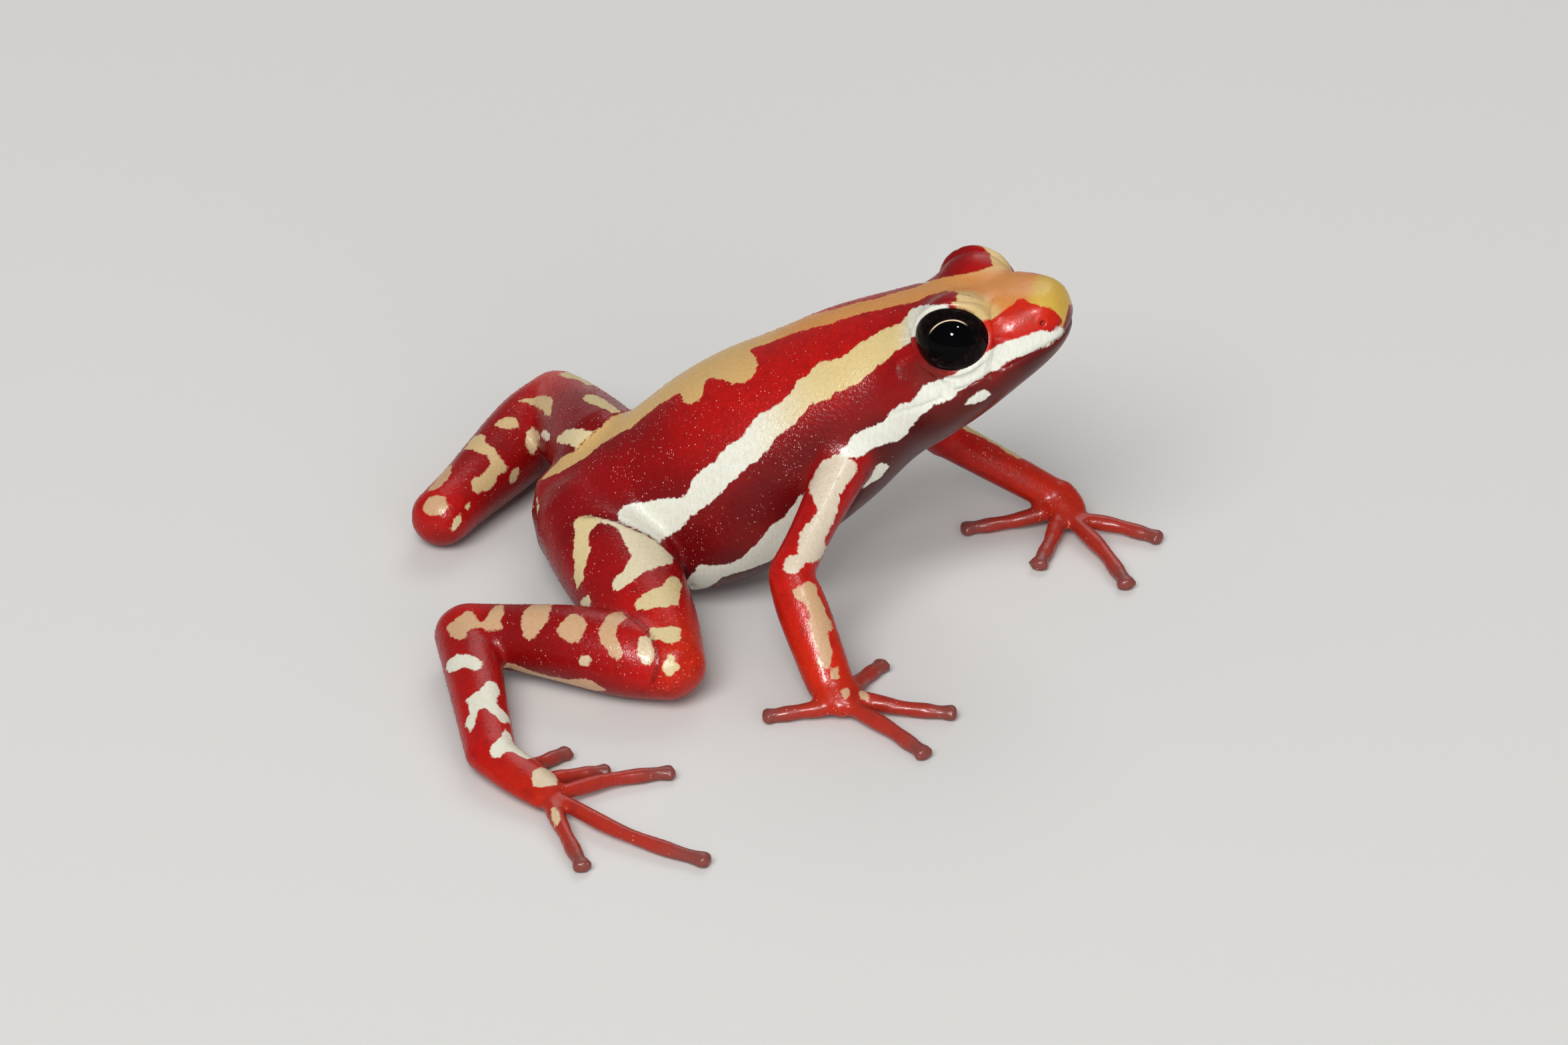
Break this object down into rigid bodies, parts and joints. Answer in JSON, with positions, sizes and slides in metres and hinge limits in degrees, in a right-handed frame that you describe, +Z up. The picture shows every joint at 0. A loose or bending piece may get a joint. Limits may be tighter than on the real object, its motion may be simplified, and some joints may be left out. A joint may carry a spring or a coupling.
{
  "type": "poison arrow frog",
  "caption": "Life-size model of a small red frog with cream stripes, sitting on the floor with its head raised.",
  "frame": {"origin": "on the floor, below the middle of the frog's box", "axes": "+X the way the body faces, +Y to the frog's left, +Z up"},
  "size_m": [0.0304, 0.036, 0.0139],
  "materials": {
    "skin": "moist, fine-grained",
    "throat_skin": "moist",
    "digit_skin": "moist, smooth",
    "eye": "wet, polished"
  },
  "bodies": {
    "root": {"head": "skin", "lower_jaw": "throat_skin", "torso": "skin", "right_eye": "eye", "left_eye": "eye", "right_upper_arm": "skin", "right_forearm": "skin", "right_hand": "digit_skin", "right_thigh": "skin", "right_shank": "skin", "right_tarsus": "skin", "right_foot": "digit_skin", "left_upper_arm": "skin", "left_forearm": "skin", "left_hand": "digit_skin", "left_thigh": "skin", "left_shank": "skin", "left_tarsus": "skin", "left_foot": "digit_skin"}
  },
  "joints": []
}
